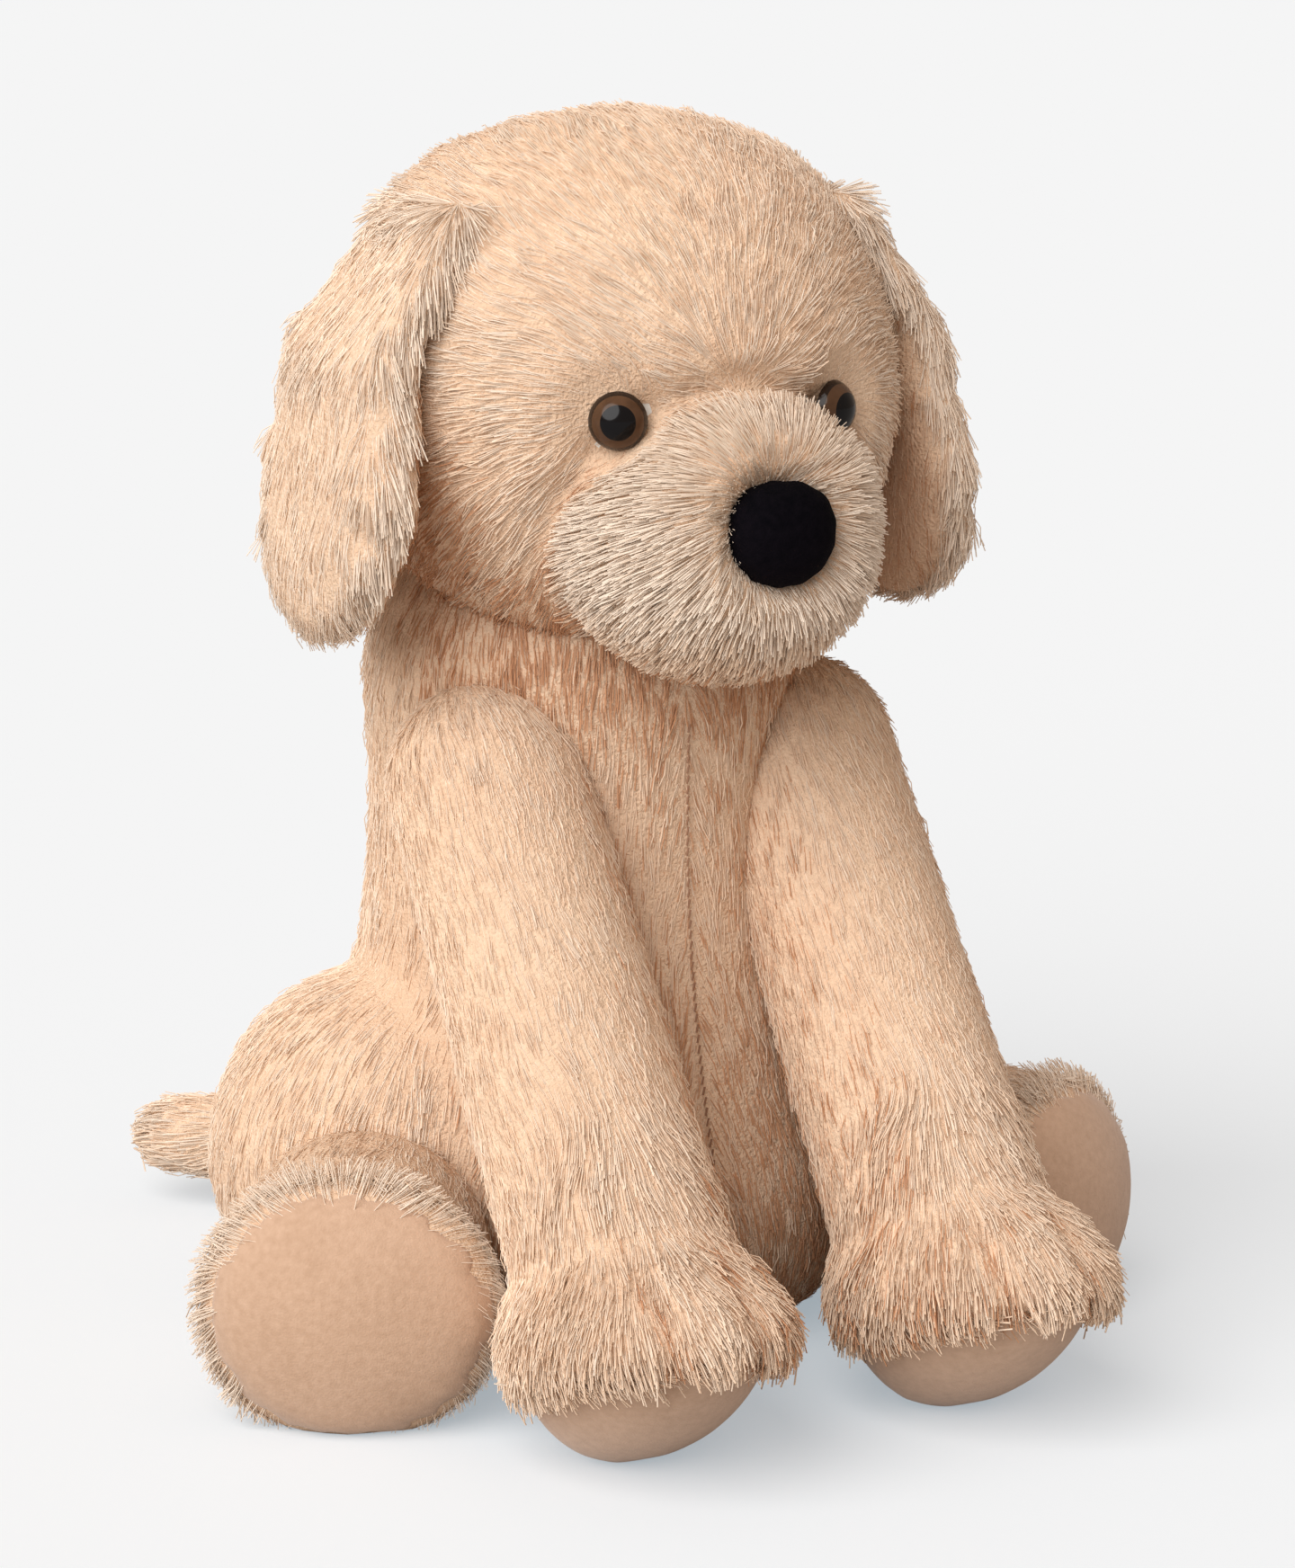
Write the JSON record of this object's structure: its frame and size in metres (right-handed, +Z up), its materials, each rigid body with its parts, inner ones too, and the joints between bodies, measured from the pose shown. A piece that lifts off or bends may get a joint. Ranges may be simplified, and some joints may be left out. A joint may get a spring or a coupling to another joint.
{
  "type": "plush dog",
  "caption": "Sitting plush puppy with long soft pile, floppy ears, a velvet nose, domed eyes, suede soles and a short tail; head, ears, legs and tail move.",
  "frame": {"origin": "middle of the flat seat, on the surface that the toy sits on", "axes": "+Z up, the dog looks along -Y, its left side is +X"},
  "size_m": [0.295, 0.3398, 0.357],
  "materials": {
    "plush": "long soft pile",
    "sole_suede": "brushed microsuede",
    "nose_velvet": "short velvet",
    "eye_plastic": "polished",
    "washer_plastic": "moulded",
    "fibre_filling": "loose polyester fibre",
    "pellet_bag": "plain woven bag of plastic pellets"
  },
  "bodies": {
    "torso": {"back_panel_left": "plush", "back_panel_right": "plush", "body_stuffing": "fibre_filling", "chest_panel_left": "plush", "chest_panel_right": "plush", "haunch_panel_left": "plush", "haunch_panel_right": "plush", "seat_panel": "plush", "seat_pellet_bag": "pellet_bag"},
    "neck": {"neck_stuffing": "fibre_filling"},
    "head": {"chin_panel": "plush", "eye_left": "eye_plastic", "eye_right": "eye_plastic", "eye_washer_left": "washer_plastic", "eye_washer_right": "washer_plastic", "head_gusset": "plush", "head_side_panel_left": "plush", "head_side_panel_right": "plush", "head_stuffing": "fibre_filling", "muzzle_panel": "plush", "muzzle_stuffing": "fibre_filling", "nose_cover": "nose_velvet", "nose_filling": "fibre_filling"},
    "ear_left": {"ear_cover_left": "plush", "ear_lining_left": "plush"},
    "ear_right": {"ear_cover_right": "plush", "ear_lining_right": "plush"},
    "front_leg_left": {"front_leg_inner_panel_left": "plush", "front_leg_outer_panel_left": "plush", "front_leg_stuffing_left": "fibre_filling", "front_sole_left": "sole_suede"},
    "front_leg_right": {"front_leg_inner_panel_right": "plush", "front_leg_outer_panel_right": "plush", "front_leg_stuffing_right": "fibre_filling", "front_sole_right": "sole_suede"},
    "hind_leg_left": {"hind_leg_lower_panel_left": "plush", "hind_leg_stuffing_left": "fibre_filling", "hind_leg_upper_panel_left": "plush", "hind_sole_left": "sole_suede"},
    "hind_leg_right": {"hind_leg_lower_panel_right": "plush", "hind_leg_stuffing_right": "fibre_filling", "hind_leg_upper_panel_right": "plush", "hind_sole_right": "sole_suede"},
    "tail": {"tail_cover": "plush", "tail_stuffing": "fibre_filling"}
  },
  "joints": [
    {"name": "head_nod", "type": "hinge", "parent": "torso", "child": "neck", "pos_m": [0, 0, 0.193], "axis": [1, 0, 0], "range_deg": [-6, 8], "stiffness_Nm_per_rad": 6},
    {"name": "head_turn", "type": "hinge", "parent": "neck", "child": "head", "pos_m": [0, 0, 0.193], "axis": [0, 0, 1], "range_deg": [-20, 20], "stiffness_Nm_per_rad": 1.5},
    {"name": "ear_lift_left", "type": "hinge", "parent": "head", "child": "ear_left", "pos_m": [0.0612, -0.022, 0.331], "axis": [0, -1, 0], "range_deg": [0, 60]},
    {"name": "front_leg_lift_left", "type": "hinge", "parent": "torso", "child": "front_leg_left", "pos_m": [0.05, -0.038, 0.172], "axis": [-1, 0, 0], "range_deg": [0, 35], "stiffness_Nm_per_rad": 0.6},
    {"name": "hind_leg_splay_left", "type": "hinge", "parent": "torso", "child": "hind_leg_left", "pos_m": [0.094, -0.045, 0.035], "axis": [0, 0, 1], "range_deg": [-3, 18], "stiffness_Nm_per_rad": 0.5},
    {"name": "ear_lift_right", "type": "hinge", "parent": "head", "child": "ear_right", "pos_m": [-0.0612, -0.022, 0.331], "axis": [0, 1, 0], "range_deg": [0, 60]},
    {"name": "front_leg_lift_right", "type": "hinge", "parent": "torso", "child": "front_leg_right", "pos_m": [-0.05, -0.038, 0.172], "axis": [-1, 0, 0], "range_deg": [0, 35], "stiffness_Nm_per_rad": 0.6},
    {"name": "hind_leg_splay_right", "type": "hinge", "parent": "torso", "child": "hind_leg_right", "pos_m": [-0.094, -0.045, 0.035], "axis": [0, 0, -1], "range_deg": [-3, 18], "stiffness_Nm_per_rad": 0.5},
    {"name": "tail_wag", "type": "hinge", "parent": "torso", "child": "tail", "pos_m": [0, 0.082, 0.023], "axis": [0, 0, -1], "range_deg": [-4, 104], "stiffness_Nm_per_rad": 0.1}
  ]
}
